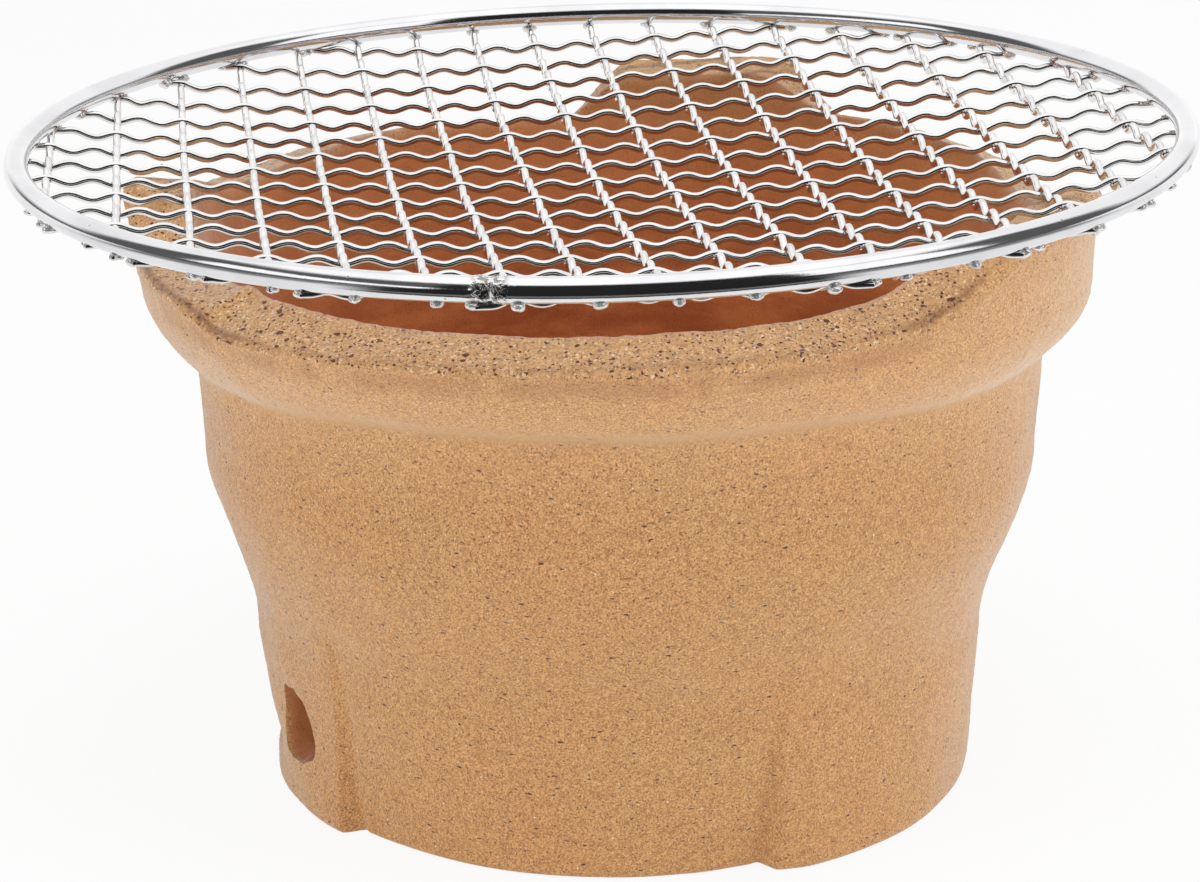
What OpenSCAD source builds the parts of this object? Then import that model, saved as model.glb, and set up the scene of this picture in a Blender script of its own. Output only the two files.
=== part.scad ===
// Charcoal brazier: an unglazed clay bowl with three lobes on its rim, a loose perforated fire
// grate on a ledge inside, and a round net of crimped steel wires that rests on the lobes.
// Millimetres, +Z up, origin on the clay body's axis in the plane that it stands on.
// Azimuths are in degrees from the front (-Y), positive towards the right (+X).

/* [Clay body] */
// Radius of the foot on its three raised panels
foot_r = 74.6; // [68:0.2:78]
// Radius where the shoulder starts
waist_r = 76; // [74:0.2:80]
// Height where the shoulder starts
waist_z = 32; // [26:1:42]
// Radius of the neck just above the shoulder
neck_r = 86; // [82:0.2:90]
// Height where the shoulder ends in the neck
shoulder_z = 72; // [60:1:78]
// Radius of the thick collar
collar_r = 96.2; // [92:0.2:102]
// Height of the crease where the neck steps out into the collar
lip_z = 92; // [86:1:96]
// Height where the collar reaches its full radius
collar_z = 107; // [100:1:110]
// Fullness of the collar's curve above the crease, from 1 for a straight cone
collar_curve = 1.7; // [1:0.1:3]
// How far the collar and the lobes lean out, in millimetres for each millimetre of height
collar_lean = 0.14; // [0:0.02:0.24]
// Rounding of the foot's lower edge
foot_round = 1.5; // [1:0.5:4]

/* [Raised foot panels] */
// Number of raised panels around the foot
panel_count = 3; // [2:1:5]
// Azimuth of the middle of the panel at the front right
panel_az = 48; // [40:1:60]
// Width of a panel as an angle
panel_span = 48; // [30:1:60]
// How far a panel stands out at the bottom
panel_rise = 4; // [2:0.5:6]
// Height where a panel fades into the body
panel_top = 46; // [36:1:52]

/* [Rim and lobes] */
// Wall thickness at the scraped rim
rim_wall = 12.4; // [9:0.2:16]
// Angle of the scraped band, which falls outwards
rim_slope = 15; // [5:1:30]
// Height of the front dip at the rim's outer edge
front_dip_z = 111.5; // [106:0.5:118]
// Height of the dip at the back left
left_dip_z = 114; // [106:0.5:118]
// Height of the dip at the back right
right_dip_z = 116; // [106:0.5:118]
// Azimuth of the lobe at the left
left_lobe_az = -78; // [-90:1:-70]
// Azimuth of the lobe at the front right
right_lobe_az = 60; // [50:1:70]
// Azimuth of the lobe at the back
back_lobe_az = 169; // [160:1:180]
// Width of a lobe along its top
lobe_top_w = 30; // [20:1:40]
// Width of a lobe where it rises from the dips
lobe_foot_w = 76; // [50:1:80]

/* [Inside of the bowl] */
// Thickness of the floor
floor_t = 8; // [6:0.5:9]
// Height of the ledge that carries the fire grate
ledge_z = 46; // [40:1:52]
// Width of the ledge
ledge_w = 7; // [5:0.5:9]
// Wall thickness just above the ledge
low_wall = 12; // [9:0.5:14]
// Radius of the fillet around the floor
floor_fillet = 5; // [2:0.5:8]

/* [Air holes] */
// Azimuth halfway between the two air holes
air_az = -73; // [-80:1:-66]
// Angle between the two air holes
air_spacing = 22; // [18:1:30]
// Width of an air hole
air_w = 14; // [10:0.5:16]
// Height of an air hole
air_h = 17; // [16:0.5:22]
// Height of the lowest point of an air hole
air_low_z = 9; // [9:0.5:12]

/* [Fire grate] */
// Thickness of the fire grate
grate_t = 10; // [6:0.5:14]
// Play between the fire grate's edge and the bowl
grate_play = 1; // [0.5:0.25:2]
// Diameter of the fire grate's holes
grate_hole_d = 10; // [6:0.5:12]
// Distance between the rings of holes
grate_ring_step = 21; // [18:0.5:24]
// Number of rings of holes around the middle hole
grate_rings = 2; // [1:1:2]

/* [Net] */
// Outer diameter of the net's ring
ring_d = 240; // [220:2:260]
// Diameter of the ring's round bar
bar_d = 4.3; // [3:0.1:6]
// Diameter of the net's wires
wire_d = 1.5; // [1:0.1:2]
// Distance between the wires that run front to back
long_pitch = 13.75; // [12:0.25:18]
// Distance between the wires that run left to right
cross_pitch = 13.6; // [12:0.2:18]
// How far the net hangs below its ring in the middle
net_sag = 6.6; // [2:0.2:10]
// Turn of the wires that run front to back
long_turn = 7.6; // [0:0.2:12]
// Turn of the wires that run left to right
cross_turn = 6.8; // [0:0.2:12]
// Shift of the middle front-to-back wire from the ring's centre
long_shift = -1.8; // [-6:0.2:6]
// Shift of the middle left-to-right wire from the ring's centre
cross_shift = -4.4; // [-6:0.2:6]
// Height of the ring's centre above the table
net_z = 134.2; // [130:0.2:140]
// Shift of the net to the right of the body's axis
net_shift = -4; // [-6:0.5:6]
// How far the net leans to the left, in degrees
net_lean_left = 1.5; // [0:0.1:2]
// How far the net leans to the front, in degrees
net_lean_front = 0.8; // [0:0.1:2]
// Azimuth of the ring's butt weld
weld_az = -9; // [-60:1:60]
// Length of the weld's bead around the ring
weld_len = 9; // [4:1:14]
// How far the weld's bead stands out of the bar
weld_rise = 0.2; // [0.1:0.05:0.4]

/* [Clearances] */
// Gap between the lobes and the net, and between the ledge and the fire grate
seat_gap = 0.3; // [0.2:0.1:0.6]
// Gap between two crossing wires, and between a wire and the ring's weld bead above it
wire_gap = 0.1; // [0.1:0.05:0.3]

/* [Hidden] */
clay = [0.80, 0.62, 0.42];
fired_clay = [0.62, 0.36, 0.20];
steel = [0.78, 0.79, 0.80];

over = 1;               // how far a cutter runs past the solid that it cuts
section_step = 4;       // height of one step of a curved section
net_room = 20;          // how far above the net's ring its seat's cutter reaches
prism_reach = 60;       // depth of a lobe's prism below the dips
lobe_drop = 3;          // a lobe's flanks start this far below the dip's outer edge
wall_top = net_z + over;

// Wires are square bars with the area of the round wire
wire_side = wire_d * sqrt(PI) / 2;
bar_r = bar_d / 2;
ring_r = ring_d / 2 - bar_r;
end_past = 1;                   // the wires end this far past the bar's middle
wire_reach = ring_r + end_past;
net_edge = 4;                   // no wire lies closer to the bar's middle than this
crest_len = 2 * wire_d;         // flat stretch of a wire where it crosses another
sag_slope = 2 * net_sag / ring_r;   // slope of the net at the ring, where it is steepest

// Half the height between two crossing wires: the slope tilts each by up to half its side
crimp_h = (wire_side + wire_side * sag_slope / sqrt(2) + wire_gap) / 2;
weld_h = -(bar_r + weld_rise + wire_gap + wire_side / 2);

function share(t) = max(0, min(1, t));
function ease(t) = share(t) * share(t) * (3 - 2 * share(t));
function polar(r, az) = [r * sin(az), -r * cos(az)];

// ---- sections of the clay body ----

foot_taper = (waist_r - foot_r) / waist_z;

function outer_r(z) = foot_r + foot_taper * min(z, waist_z)
    + (neck_r - waist_r) * ease((z - waist_z) / (shoulder_z - waist_z))
    + (collar_r - neck_r) * (1 - pow(1 - share((z - lip_z) / (collar_z - lip_z)), collar_curve))
    + collar_lean * max(0, z - collar_z);

// Depth of the cut between the panels; above the panels it lies outside the body
function panel_depth(z) = panel_rise * (1 - z / panel_top);

bowl_low_r = outer_r(ledge_z) - low_wall;
rim_in_r = outer_r(front_dip_z) - rim_wall;
bowl_slope = (rim_in_r - bowl_low_r) / (front_dip_z - ledge_z);
ash_r = bowl_low_r - ledge_w;

function bowl_r(z) = bowl_low_r + bowl_slope * (z - ledge_z);

function arc(centre, r, from, to, n = 6) =
    [for (i = [0 : n]) let (a = from + (to - from) * i / n) centre + r * [cos(a), sin(a)]];

outer_line = concat(
    arc([foot_r - foot_round, foot_round], foot_round, -90, 0, 4),
    [for (z = [section_step : section_step : wall_top - section_step]) [outer_r(z), z]],
    [[outer_r(wall_top), wall_top]]);

inner_line = concat(
    [[bowl_r(wall_top), wall_top], [bowl_low_r, ledge_z], [ash_r, ledge_z]],
    arc([ash_r - floor_fillet, floor_t + floor_fillet], floor_fillet, 0, -90));

module turned(section) {
    rotate_extrude($fn = 96) polygon(section);
}

// A wedge of a turned section between two azimuths
module turned_wedge(section, from, to) {
    rotate([0, 0, from - 90]) rotate_extrude(angle = to - from, $fn = 96) polygon(section);
}

// ---- rim: dips between three lobes that carry the net ----

lobes = [left_lobe_az, right_lobe_az, back_lobe_az, left_lobe_az + 360];
dips = [front_dip_z, right_dip_z, left_dip_z];

function lobe_side(z0, z1, n = 8) = [for (i = [0 : n])
    [-lobe_foot_w / 2 + (lobe_foot_w - lobe_top_w) / 2 * i / n, z0 + (z1 - z0) * ease(i / n)]];

// A lobe's outline, seen along the radius, as a prism through the wall
module lobe_prism(az, low_z) {
    side = lobe_side(low_z, net_z);
    mirrored = [for (i = [len(side) - 1 : -1 : 0]) [-side[i][0], side[i][1]]];
    foot = [[lobe_foot_w / 2, low_z - prism_reach], [-lobe_foot_w / 2, low_z - prism_reach]];
    rotate([0, 0, az]) translate([0, -bowl_low_r, 0]) rotate([90, 0, 0])
        linear_extrude(ring_r) polygon(concat(side, mirrored, foot));
}

// What is scraped away between two lobes
module dip(from, to, z) {
    rise = tan(rim_slope);
    in_r = bowl_low_r;
    out_r = outer_r(wall_top) + over;
    rim_r = outer_r(z);
    top = wall_top + over;
    difference() {
        turned_wedge([
            [in_r, z + (rim_r - in_r) * rise], [out_r, z - (out_r - rim_r) * rise],
            [out_r, top], [in_r, top]], from, to);
        lobe_prism(from, z - lobe_drop);
        lobe_prism(to, z - lobe_drop);
    }
}

// ---- foot: panels stand proud where the body between them is cut back ----

module panel_gap(from, to) {
    out_r = foot_r + foot_taper * waist_z + panel_rise;
    top = section_step * (floor(panel_top / section_step) + 1);
    face = [for (z = [0 : section_step : top]) [outer_r(z) - panel_depth(z), z]];
    turned_wedge(concat([[out_r, top], [out_r, -over], [face[0][0], -over]], face), from, to);
}

// ---- air holes: ovals through the wall of the foot ----

module air_hole(az) {
    middle = air_low_z + air_h / 2;
    rotate([0, 0, az]) translate([0, -ash_r + floor_fillet, middle]) rotate([90, 0, 0])
        linear_extrude(foot_r)
            polygon([for (i = [0 : 15]) [air_w / 2 * cos(22.5 * i), air_h / 2 * sin(22.5 * i)]]);
}

// ---- the net's place on the body ----

module net_place() {
    translate([net_shift, 0, net_z]) rotate([net_lean_front, -net_lean_left, 0]) children();
}

// Height of the crimped wires' middle plane below the ring's centre
function net_h(r) = weld_h - crimp_h - net_sag * (1 - pow(r / ring_r, 2));

// Everything above the lowest crimps, less the gap: the lobes are trimmed to it
module net_seat() {
    low = crimp_h + wire_side / 2 + seat_gap;
    radii = [for (i = [0 : 8]) ring_r * (0.6 + 0.05 * i)];
    line = [for (r = radii) [r, net_h(r) - low]];
    first = line[0];
    last = line[len(line) - 1];
    net_place() rotate_extrude($fn = 96)
        polygon(concat([[0, net_room], [0, first[1]]], line, [[last[0], net_room]]));
}

module brazier_body() {
    color(clay) difference() {
        turned(concat([[0, 0]], outer_line, inner_line, [[0, floor_t]]));
        for (i = [0 : 2]) dip(lobes[i], lobes[i + 1], dips[i]);
        net_seat();
        for (i = [0 : panel_count - 1]) {
            middle = panel_az + 360 / panel_count * i;
            panel_gap(middle + panel_span / 2, middle + 360 / panel_count - panel_span / 2);
        }
        for (side = [-1, 1]) air_hole(air_az + side * air_spacing / 2);
    }
}

module fire_grate() {
    color(fired_clay) translate([0, 0, ledge_z + seat_gap]) difference() {
        cylinder(h = grate_t, r = bowl_low_r - grate_play, $fn = 96);
        for (ring = [0 : grate_rings]) {
            count = max(1, 6 * ring);
            for (i = [0 : count - 1])
                translate(concat(polar(ring * grate_ring_step, 360 * i / count), -over))
                    cylinder(h = grate_t + 2 * over, d = grate_hole_d, $fn = 24);
        }
    }
}

module net_ring() {
    half_weld = weld_len / ring_r * 90 / PI;
    color(steel) net_place() {
        rotate_extrude($fn = 72) translate([ring_r, 0]) circle(bar_r, $fn = 16);
        rotate([0, 0, weld_az - 90 - half_weld])
            rotate_extrude(angle = 2 * half_weld, $fn = 72)
                translate([ring_r, 0]) circle(bar_r + weld_rise, $fn = 16);
    }
}

// ---- crimped wires ----

// Offsets of parallel wires from the ring's centre, as many as the ring holds
function offsets(shift, pitch) =
    let (reach = ring_r - net_edge,
        low = ceil((-reach - shift) / pitch),
        high = floor((reach - shift) / pitch))
    [for (k = [low : high]) shift + k * pitch];

long_offsets = offsets(long_shift, long_pitch);
cross_offsets = offsets(cross_shift, cross_pitch);

function parity(offset, shift, pitch) = round((offset - shift) / pitch) % 2 == 0 ? 1 : -1;

// From 1 on a crest to -1 in a trough, with x counted in crossings
function zigzag(x) = 2 * abs(x - 2 * floor(x / 2) - 1) - 1;

// One wire of a set: on a crest where it crosses over a wire of the other set, in a trough
// where it crosses under one. over_first is 1 for the set on top in the middle, else -1.
module wire(turn, offset, shift, pitch, skew, other_shift, other_pitch, over_first) {
    half = sqrt(pow(wire_reach, 2) - pow(offset, 2));
    step = other_pitch / cos(skew);
    middle = (other_shift - offset * sin(skew)) / cos(skew);
    crest_h = crimp_h * over_first * parity(offset, shift, pitch);
    last = ceil((half + abs(middle)) / step);
    bends = [for (k = [-last : last], end = [-1, 1])
        let (s = middle + k * step + end * crest_len / 2) if (abs(s) < half - wire_d / 2) s];
    line = [for (s = concat([-half], bends, [half]))
        let (wave = zigzag((s - middle) / step) / (1 - crest_len / step))
        [s, net_h(norm([s, offset])) + crest_h * max(-1, min(1, wave))]];
    lower = [for (p = line) p - [0, wire_side / 2]];
    upper = [for (i = [len(line) - 1 : -1 : 0]) line[i] + [0, wire_side / 2]];
    color(steel) net_place()
        rotate([0, 0, turn]) translate([0, offset + wire_side / 2, 0]) rotate([90, 0, 0])
            linear_extrude(wire_side) polygon(concat(lower, upper));
}

// Wires from left to right, counted from the front
module cross_wire(k) {
    wire(cross_turn, cross_offsets[k], cross_shift, cross_pitch,
        long_turn - cross_turn, long_shift, long_pitch, 1);
}

// Wires from front to back, counted from the left
module long_wire(k) {
    wire(long_turn + 90, -long_offsets[k], -long_shift, long_pitch,
        cross_turn - long_turn, cross_shift, cross_pitch, -1);
}

function numbered(stem, k) = str(stem, k < 9 ? "0" : "", k + 1);

long_names = [for (k = [0 : len(long_offsets) - 1]) numbered("long_wire_", k)];
cross_names = [for (k = [0 : len(cross_offsets) - 1]) numbered("cross_wire_", k)];

brazier_body();
fire_grate();
net_ring();
for (k = [0 : len(long_names) - 1])
    long_wire(k);
for (k = [0 : len(cross_names) - 1])
    cross_wire(k);
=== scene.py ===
"""Looks of the charcoal brazier: a hand-finished clay bowl, its fire grate and a crimped wire net.

The frame gives the bodies. Sizes here are in millimetres until a mesh is made, in the frame's
axes: +Z up, azimuths in degrees from the front (-Y), positive towards the right (+X).
"""

import math

import bpy
import numpy as np
from mathutils import Euler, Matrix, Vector


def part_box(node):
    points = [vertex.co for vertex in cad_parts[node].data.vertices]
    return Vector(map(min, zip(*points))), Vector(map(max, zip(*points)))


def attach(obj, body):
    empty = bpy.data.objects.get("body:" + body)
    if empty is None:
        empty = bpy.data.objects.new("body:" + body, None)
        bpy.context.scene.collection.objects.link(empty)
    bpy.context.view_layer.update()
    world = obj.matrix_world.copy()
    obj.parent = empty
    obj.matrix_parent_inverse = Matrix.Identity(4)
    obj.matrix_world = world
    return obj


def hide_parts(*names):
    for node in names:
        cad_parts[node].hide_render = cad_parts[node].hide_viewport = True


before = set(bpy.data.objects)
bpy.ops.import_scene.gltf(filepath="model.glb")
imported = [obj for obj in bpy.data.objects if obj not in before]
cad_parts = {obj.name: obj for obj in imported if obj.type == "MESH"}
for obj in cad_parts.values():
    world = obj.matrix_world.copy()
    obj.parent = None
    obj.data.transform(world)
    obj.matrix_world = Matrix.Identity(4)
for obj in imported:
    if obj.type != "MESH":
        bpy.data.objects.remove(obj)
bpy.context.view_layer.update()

MM = 0.001
# Edges sharper than this are shaded sharp
SHARP_ANGLE = math.radians(50)

# ---- camera, as fitted to the ring, the net and the foot in the photograph ----
CAMERA_LENS = 103.18
CAMERA_SENSOR = 36.0
CAMERA_PLACE = (-0.15, -684.67, 286.61)
CAMERA_TILT = 72.25
CAMERA_TURN = 0.34

# ---- clay body: lists are (azimuth, value), eased in between ----
# Radius on the ground of the raised panels' faces
FOOT_R = [(-120, 74.6), (-84, 73.5), (-64, 74.3), (-52, 75.0), (-38, 74.7), (-20, 75.1), (0, 74.6),
          (12, 74.0), (22, 73.3), (31, 75.2), (50, 75.0), (66, 74.2), (84, 73.7), (120, 74.4),
          (160, 74.0)]
FOOT_ROUND = 1.4
WAIST_R = 76.0
WAIST_Z = 30.2
# Height at which the shoulder starts to swell out
SHOULDER_LOW = [(-82, 31.5), (0, 31.5), (84, 33.5), (180, 32.0)]
NECK_R = 86.0
NECK_FLARE = 1.2
SHOULDER_Z = 72.1
# Where the foot is pressed in behind the air holes: azimuth, height, their spread, and depth
SIDE_DENT = (-86.0, 8.5, 13.0, 6.0, 3.4)
# The crease where the neck steps out into the collar, and the collar's curve above it
CREASE_Z = [(-130, 90.0), (-82, 88.7), (-55, 91.6), (-28, 94.5), (0, 95.2), (22, 95.8), (57, 94.4),
            (82, 92.6), (130, 92.5), (180, 92.5)]
CREASE_SOFT = 0.7
COLLAR_RISE = 15.0
# How sharply the collar turns upright: 1 is a straight slope
COLLAR_CURVE = [(-82, 1.6), (0, 1.7), (82, 1.85), (180, 1.7)]
COLLAR_R = [(-82, 97.4), (0, 96.15), (82, 96.2), (180, 96.4)]
# How far the collar leans out for each millimetre above its curve
COLLAR_LEAN = [(-82, 0.18), (0, 0.15), (57, 0.14), (82, 0.05), (169, 0.14)]

# Azimuths at which each raised panel of the foot starts and ends
PANEL_STEPS = [(-95.0, -48.0), (24.5, 80.0), (145.0, 193.0)]
# The front right panel reaches this much further round above its foot
REACHING_PANEL = 1
PANEL_REACH = 17.0
PANEL_REACH_Z = (15.0, 23.0)
# The panels stand out by their rise on the ground and fade out at their top
PANEL_RISE = 4.0
PANEL_TOP = 46.0
PANEL_EDGE = 1.7
# The groove at a step's foot: depth, how far off the step, and width, both in degrees
PANEL_GROOVE = 0.45
GROOVE_OFF = 1.3
GROOVE_WIDE = 0.75

# How dark the scraped rim's outer edge is painted: painted shade on its rounding
ARRIS_SHADE = [(-83, 0.0), (-76, 1.0), (-52, 1.0), (-40, 0.3), (28, 0.3), (38, 1.0), (62, 1.0), (72, 0.0)]
# Height of the scraped rim's outer edge in the dips
DIP_Z = [(-172, 114.5), (-145, 115.0), (-120, 113.5), (-90, 112.2), (-70, 111.3), (-61, 110.8),
         (-57, 109.6), (-53, 107.3), (-46, 107.3), (-37, 108.4), (-25, 109.4), (-12, 110.3), (0, 110.9),
         (10, 111.4), (20, 112.4), (32, 114.5), (70, 113.0), (105, 112.5), (121, 117.0), (145, 118.0),
         (170, 116.5)]
# How much higher the rim's inner edge stands, over the width of its wall
RIM_RISE = [(-95, 2.0), (-70, 1.0), (-61, 1.4), (-54, 5.2), (-48, 5.9), (-37, 5.0), (-26, 4.4),
            (0, 4.5), (20, 4.5), (60, 4.0), (180, 4.0)]
RIM_WALL = 12.0
RIM_INNER_R = 84.8
# Height at which the rim's outer radius is taken, where the search for its inner corner starts,
# and the radii between which the rim's height is needed
RIM_NEAR_Z = 112.0
RIM_START_R = 85.5
RIM_RADII = (84.0, 100.0)
# Rounding of the rim's outer edge in the dips, and on the lobes
RIM_ROUND = 1.2
LOBE_ROUND = [(-84, 2.5), (60, 4.6), (169, 1.3)]
RIM_INNER_ROUND = 0.6
# How much of the lobe's top stands at an azimuth, from 0 in a dip to 1
LOBE_SHARE = [(-114, 0.0), (-87, 1.0), (-79, 1.0), (-63, 0.0), (29, 0.0), (46, 1.0),
              (67, 1.0), (101, 0.0), (147, 0.0), (159.5, 1.0), (178.5, 1.0), (189, 0.0)]
# How far the outer end of a lobe's flank is turned against its inner end
FLANK_TURN = [(-94, 0.0), (-77, 12.0), (-60, 12.0), (-40, 0.0), (20, 0.0), (45, -5.0), (95, -5.0),
              (140, 0.0)]
# Gap between a lobe's top and the wires that it carries
LOBE_GAP = 0.3
# How thickly the scraped rim is torn
TORN = [(-110, 0.8), (-75, 1.15), (-53, 1.15), (-40, 1.0), (-20, 0.9), (10, 0.85), (34, 1.1), (44, 1.4),
        (54, 1.25), (70, 0.9), (180, 0.8)]

# The bowl's wall: radius at the ledge, slope, and the flare that it gains higher up
BOWL_LOW_R = 66.8
BOWL_SLOPE = 0.2
BOWL_FLARE = 0.0016
BOWL_FLARE_Z = 60.0
BOWL_TOP_R = 86.6
LEDGE_Z = 46.0
LEDGE_ROUND = 1.2
ASH_R = 59.8
FLOOR_Z = 8.0
FLOOR_FILLET = 5.0

# ---- air holes: outlines as (along the wall, height), seen from outside ----
AIR_HOLE_FRONT_AZ = -63.5
AIR_HOLE_FRONT = [(-3.3, 24.5), (-0.2, 25.8), (3.5, 25.6), (7.2, 24.5), (9.6, 21.2), (10.6, 16.5),
                  (10.0, 14.1), (7.8, 11.8), (5.4, 10.3), (2.0, 10.1), (-1.4, 9.9), (-4.0, 11.0),
                  (-3.9, 17.9)]
AIR_HOLE_BACK_AZ = -82.0
AIR_HOLE_BACK = [(-5.4, 23.0), (-2.6, 25.2), (2.2, 25.4), (6.4, 23.2), (8.9, 18.6), (8.7, 12.6),
                 (6.0, 8.4), (1.4, 7.6), (-3.6, 9.4), (-6.2, 13.6), (-6.6, 18.6)]
# The cutters run between two radii, and taper by this share a millimetre inside the face
HOLE_RADII = (54.0, 84.0)
HOLE_FACE_R = 74.0
HOLE_TAPER = 0.012

# ---- fire grate ----
GRATE_R = 65.8
GRATE_ROUND = 1.6
GRATE_HOLE_D = 10.0
# A hole's mouths widen by the flare, over the mouth's depth
GRATE_FLARE = 1.3
GRATE_MOUTH = 2.4
GRATE_RING_STEP = 21.0

# ---- net, in the plane of its ring: u to the right, w to the back, h up; angles in degrees ----
NET_CENTRE = (-4.03, 0.08, 133.87)
NET_LEAN = (0.8, -1.5, 0.0)
RING_R = 117.6
BAR_R = 2.4
WIRE_R = 0.77
# Long wires run to the back and cross wires to the right: turn, pitch, and offset of wire 0
LONG_TURN = 7.66
LONG_PITCH = 13.75
LONG_FIRST = -56.76
LONG_WIRES = range(-4, 13)
CROSS_TURN = 6.8
CROSS_PITCH = 13.61
CROSS_FIRST = 104.43
CROSS_WIRES = range(0, 17)
# Sag at the centre, warp across the corners, lift at the front right, and height at the ring
NET_SAG = 7.08
NET_WARP = 0.041
NET_LIFT = 0.7
NET_EDGE_H = -2.96
# Height of a wire's waves, and how many half waves it makes from crossing to crossing
LONG_CRIMP = 0.94
CROSS_CRIMP = 0.56
HALF_WAVES = 3
# A wire's ends: height, reach past the ring's middle, and the run in which its waves die out
WIRE_END_H = -2.85
WIRE_END_REACH = 0.9
WIRE_END_FADE = 5.0
# How finely a wire is sampled, and how long and wide its squeezed and rounded ends are
WIRE_STEP = 0.55
WIRE_TIP = 0.9
SQUEEZE_RUN = 2.6
SQUEEZE_WIDE = 0.32
SQUEEZE_FLAT = 0.12
CAP_RUN = 0.7
# The bar's butt weld, in degrees round the ring
WELD_AZ = -8.9
WELD_SPAN = 1.35
# Height of the beads that hold the wires' ends
BEAD_H = -BAR_R - 0.28


# ======== maths

def ease(t):
    """0 below 0 and 1 above 1, with a soft start and end between."""
    t = np.clip(t, 0.0, 1.0)
    return t * t * (3.0 - 2.0 * t)


def around(az, stops):
    """A value that eases from stop to stop around the full turn; stops are (azimuth, value)."""
    stops = sorted(stops)
    places = np.array([s[0] for s in stops] + [stops[0][0] + 360.0])
    values = np.array([s[1] for s in stops] + [stops[0][1]])
    turned = (np.asarray(az, float) - places[0]) % 360.0 + places[0]
    k = np.clip(np.searchsorted(places, turned, side="right") - 1, 0, len(stops) - 1)
    share = (turned - places[k]) / (places[k + 1] - places[k])
    return values[k] + (values[k + 1] - values[k]) * ease(share)


def waves(points, length, seed, count=22):
    """Smooth noise from about -1 to 1 with features of a given length, in the points' unit."""
    rng = np.random.default_rng(seed)
    direction = rng.normal(size=(count, 3))
    direction /= np.linalg.norm(direction, axis=1)[:, None]
    vectors = direction * (2.0 * math.pi / length * rng.uniform(0.75, 1.35, count))[:, None]
    phases = rng.uniform(0.0, 2.0 * math.pi, count)
    total = np.zeros(len(points))
    for vector, phase in zip(vectors, phases):
        total += np.cos(points @ vector + phase)
    return total / math.sqrt(count)


def polar(r, az, z):
    """Points at a radius, azimuth and height."""
    turn = np.radians(az)
    return np.stack(np.broadcast_arrays(r * np.sin(turn), -r * np.cos(turn), z), axis=-1)


def closed_spline(points, count):
    """A smooth closed curve through the points."""
    p = np.asarray(points, float)
    t = np.arange(count) / count * len(p)
    k = t.astype(int)
    f = (t - k)[:, None]
    before, start, end, after = (p[(k + i) % len(p)] for i in (-1, 0, 1, 2))
    return 0.5 * (2 * start + (end - before) * f + (2 * before - 5 * start + 4 * end - after) * f**2
                  + (3 * start - before - 3 * end + after) * f**3)


# ======== meshes

def new_object(name, data):
    made = bpy.data.objects.new(name, data)
    bpy.context.scene.collection.objects.link(made)
    return made


def mesh_object(name, points, faces):
    """An object at the origin, from points in millimetres."""
    mesh = bpy.data.meshes.new(name)
    mesh.from_pydata((np.asarray(points) * MM).tolist(), [], faces)
    mesh.validate()
    mesh.polygons.foreach_set("use_smooth", [True] * len(mesh.polygons))
    return new_object(name, mesh)


def grid_faces(rows, columns, close_rows=False, first=0):
    """Quads of a grid whose columns close on themselves."""
    ends = rows if close_rows else rows - 1
    i, j = np.meshgrid(np.arange(ends), np.arange(columns), indexing="ij")
    i2, j2 = (i + 1) % rows, (j + 1) % columns
    quads = np.stack([i * columns + j, i * columns + j2, i2 * columns + j2, i2 * columns + j], -1)
    return (quads.reshape(-1, 4) + first).tolist()


def closed_faces(rows, columns, first=0):
    """Faces of such a grid with a fan to a pole at each end; the two poles follow the grid."""
    last_row = first + (rows - 1) * columns
    pole = first + rows * columns
    steps = [(j, (j + 1) % columns) for j in range(columns)]
    return (grid_faces(rows, columns, first=first)
            + [[pole, first + k, first + j] for j, k in steps]
            + [[pole + 1, last_row + j, last_row + k] for j, k in steps])


def turned_grid(name, grid, first_pole, last_pole):
    """A closed solid from a grid of rows of points and a pole at each end."""
    points = np.concatenate([grid.reshape(-1, 3), [first_pole, last_pole]])
    return mesh_object(name, points, closed_faces(*grid.shape[:2]))


def grid_normals(grid):
    """Normals of a grid of points whose columns close on themselves."""
    along = np.gradient(grid, axis=0)
    across = np.roll(grid, -1, axis=1) - np.roll(grid, 1, axis=1)
    normal = np.cross(across, along)
    return normal / np.maximum(np.linalg.norm(normal, axis=-1, keepdims=True), 1e-9)


def cut(target, cutters):
    """Subtracts the cutters and removes them."""
    for cutter in cutters:
        modifier = target.modifiers.new("cut", "BOOLEAN")
        modifier.object = cutter
        modifier.operation = "DIFFERENCE"
        modifier.solver = "MANIFOLD"
    graph = bpy.context.evaluated_depsgraph_get()
    result = bpy.data.meshes.new_from_object(target.evaluated_get(graph))
    target.modifiers.clear()
    old = target.data
    target.data = result
    result.name = target.name
    bpy.data.meshes.remove(old)
    for cutter in cutters:
        mesh = cutter.data
        bpy.data.objects.remove(cutter)
        bpy.data.meshes.remove(mesh)


def mesh_points(target):
    """The mesh's points in millimetres."""
    flat = np.empty(len(target.data.vertices) * 3)
    target.data.vertices.foreach_get("co", flat)
    return flat.reshape(-1, 3) / MM


def store(target, name, values):
    """Keeps a value for each of the mesh's points, for its material."""
    attribute = target.data.attributes.new(name, "FLOAT", "POINT")
    attribute.data.foreach_set("value", np.asarray(values, np.float32))


# ======== clay body

def panel_edges(z):
    """Where each raised panel starts and ends at a height."""
    low, high = PANEL_REACH_Z
    reach = PANEL_REACH * ease((z - low) / (high - low))
    return [(start, end + (reach if k == REACHING_PANEL else 0.0))
            for k, (start, end) in enumerate(PANEL_STEPS)]


def panel_share(az, z):
    """1 on a raised panel of the foot, 0 between two."""
    share = np.zeros(np.broadcast(az, z).shape)
    for start, end in panel_edges(z):
        middle, half = (start + end) / 2, (end - start) / 2
        off = np.abs((az - middle + 180.0) % 360.0 - 180.0) - half
        share = np.maximum(share, ease(0.5 - off / PANEL_EDGE))
    return share


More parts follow.
